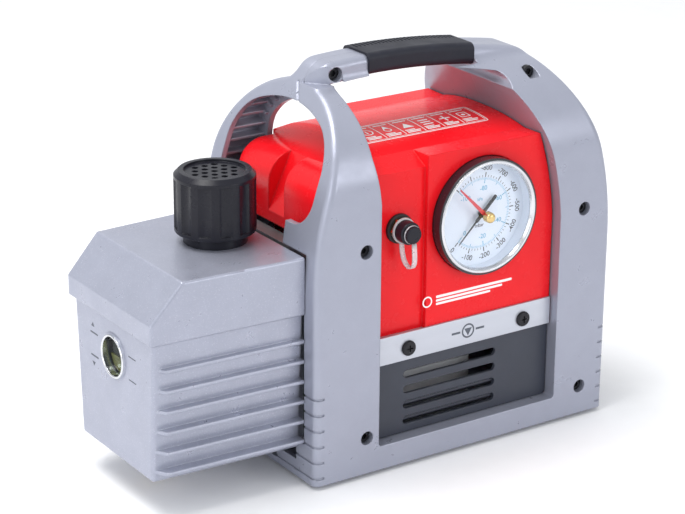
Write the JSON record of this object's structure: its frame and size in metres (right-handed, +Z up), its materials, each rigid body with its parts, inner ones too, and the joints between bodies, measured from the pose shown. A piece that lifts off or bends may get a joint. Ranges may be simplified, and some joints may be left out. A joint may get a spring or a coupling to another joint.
{
  "type": "rotary vane vacuum pump",
  "caption": "Portable rotary vane vacuum pump: finned oil casing, arched carrying frame with grip, red motor cover, vacuum gauge and capped inlet.",
  "frame": {"origin": "centre of the whole pump's footprint box, on the surface that the rubber feet stand on", "axes": "+X from the oil casing towards the motor end, -Y is the gauge side, +Z up"},
  "size_m": [0.3508, 0.1502, 0.27],
  "materials": {
    "silver_plastic": "metallic silver paint, satin",
    "silver_casting": "silver painted casting, satin",
    "red_cover": "gloss red",
    "dark_panel": "satin slate",
    "label_strip": "printed foil, satin",
    "grip_rubber": "soft black",
    "foot_rubber": "black",
    "seal_rubber": "black",
    "black_screw": "black oxide",
    "gauge_black": "satin black enamel",
    "bezel_steel": "bright",
    "window_glass": "clear",
    "dial_white": "white enamel",
    "needle_black": "matt black",
    "pointer_red": "red enamel",
    "brass": "polished",
    "black_plastic": "satin black",
    "clear_strap": "translucent soft plastic",
    "cast_iron": "machined",
    "steel": "ground",
    "vane_fibre": "fibre laminate",
    "gasket_paper": "pressed fibre",
    "filter_felt": "felt",
    "sight_glass": "clear",
    "motor_aluminium": "cast",
    "lamination": "stamped steel",
    "copper": "enamelled copper",
    "rotor_cage": "machined",
    "spider": "elastomer",
    "can_aluminium": "drawn"
  },
  "bodies": {
    "pump_body": {"frame_front_shell": "silver_plastic", "frame_rear_shell": "silver_plastic", "grip_front": "grip_rubber", "grip_rear": "grip_rubber", "frame_screws": "black_screw", "rubber_feet": "foot_rubber", "motor_cover": "red_cover", "label_strip": "label_strip", "label_strip_screws": "black_screw", "vent_panels": "dark_panel", "end_panel": "dark_panel", "switch_housing": "black_plastic", "power_inlet": "black_plastic", "gauge_case": "gauge_black", "gauge_bezel": "bezel_steel", "gauge_window": "window_glass", "gauge_dial": "dial_white", "gauge_movement": "brass", "inlet_grommet": "seal_rubber", "inlet_fitting": "brass", "cap_strap": "clear_strap", "inlet_manifold": "brass", "oil_casing": "silver_casting", "casing_gasket": "gasket_paper", "casing_bolts": "steel", "sight_glass_ring": "bezel_steel", "sight_glass_lens": "sight_glass", "exhaust_neck": "black_plastic", "exhaust_filter": "filter_felt", "pump_flange": "cast_iron", "stage_one_ring": "cast_iron", "stage_two_ring": "cast_iron", "intermediate_plate": "cast_iron", "pump_end_plate": "cast_iron", "module_screws": "steel", "shaft_seal": "seal_rubber", "motor_housing": "motor_aluminium", "motor_end_shields": "motor_aluminium", "motor_bearings": "steel", "stator_core": "lamination", "motor_windings": "copper", "capacitor": "can_aluminium"},
    "shaft": {"stage_one_rotor": "steel", "stage_two_rotor": "steel", "coupling_hubs": "steel", "coupling_spider": "spider", "motor_shaft": "steel", "motor_rotor": "rotor_cage", "fan": "black_plastic"},
    "stage_one_orbit": {"stage_one_spacer": "steel"},
    "stage_one_blades": {"stage_one_vanes": "vane_fibre"},
    "stage_two_orbit": {"stage_two_spacer": "steel"},
    "stage_two_blades": {"stage_two_vanes": "vane_fibre"},
    "needle": {"gauge_needle": "needle_black"},
    "reference_pointer": {"set_pointer": "pointer_red", "set_pointer_knob": "brass"},
    "inlet_dust_cap": {"inlet_cap": "black_plastic"},
    "filler_cap": {"exhaust_cap": "black_plastic"},
    "drain": {"drain_plug": "brass"},
    "switch_rocker": {"rocker_switch": "black_plastic"}
  },
  "joints": [
    {"name": "shaft_spin", "type": "hinge", "parent": "pump_body", "child": "shaft", "pos_m": [-0.06595, 0.0031, 0.083], "axis": [1, 0, 0], "continuous": true},
    {"name": "stage_one_orbit_turn", "type": "hinge", "parent": "pump_body", "child": "stage_one_orbit", "pos_m": [-0.07495, 0.0031, 0.08102], "axis": [1, 0, 0], "continuous": true},
    {"name": "stage_one_blade_turn", "type": "hinge", "parent": "stage_one_orbit", "child": "stage_one_blades", "pos_m": [-0.07495, 0.0031, 0.07904], "axis": [1, 0, 0], "continuous": true},
    {"name": "stage_two_orbit_turn", "type": "hinge", "parent": "pump_body", "child": "stage_two_orbit", "pos_m": [-0.10395, 0.0031, 0.08102], "axis": [1, 0, 0], "continuous": true},
    {"name": "stage_two_blade_turn", "type": "hinge", "parent": "stage_two_orbit", "child": "stage_two_blades", "pos_m": [-0.10395, 0.0031, 0.07904], "axis": [1, 0, 0], "continuous": true},
    {"name": "gauge_needle_turn", "type": "hinge", "parent": "pump_body", "child": "needle", "pos_m": [0.07035, -0.0639, 0.1637], "axis": [0, -1, 0], "range_deg": [0, 270], "stiffness_Nm_per_rad": 0.002},
    {"name": "set_pointer_turn", "type": "hinge", "parent": "pump_body", "child": "reference_pointer", "pos_m": [0.07035, -0.0659, 0.1637], "axis": [0, -1, 0], "range_deg": [-270, 0]},
    {"name": "inlet_cap_pull", "type": "slide", "parent": "pump_body", "child": "inlet_dust_cap", "axis": [0, -1, 0], "range_m": [0, 0.012], "deforming": ["cap_strap"]},
    {"name": "filler_cap_lift", "type": "slide", "parent": "pump_body", "child": "filler_cap", "axis": [0, 0, 1], "range_m": [0, 0.02]},
    {"name": "drain_plug_draw", "type": "slide", "parent": "pump_body", "child": "drain", "axis": [0, 0, -1], "range_m": [0, 0.01]},
    {"name": "switch_rock", "type": "hinge", "parent": "pump_body", "child": "switch_rocker", "pos_m": [0.16645, 0.0241, 0.115], "axis": [0, -1, 0], "range_deg": [0, 14]}
  ],
  "couplings": [
    {"joint": "stage_one_orbit_turn", "follows": "shaft_spin", "ratio": 2},
    {"joint": "stage_one_blade_turn", "follows": "shaft_spin", "ratio": -1},
    {"joint": "stage_two_orbit_turn", "follows": "shaft_spin", "ratio": 2},
    {"joint": "stage_two_blade_turn", "follows": "shaft_spin", "ratio": -1}
  ]
}
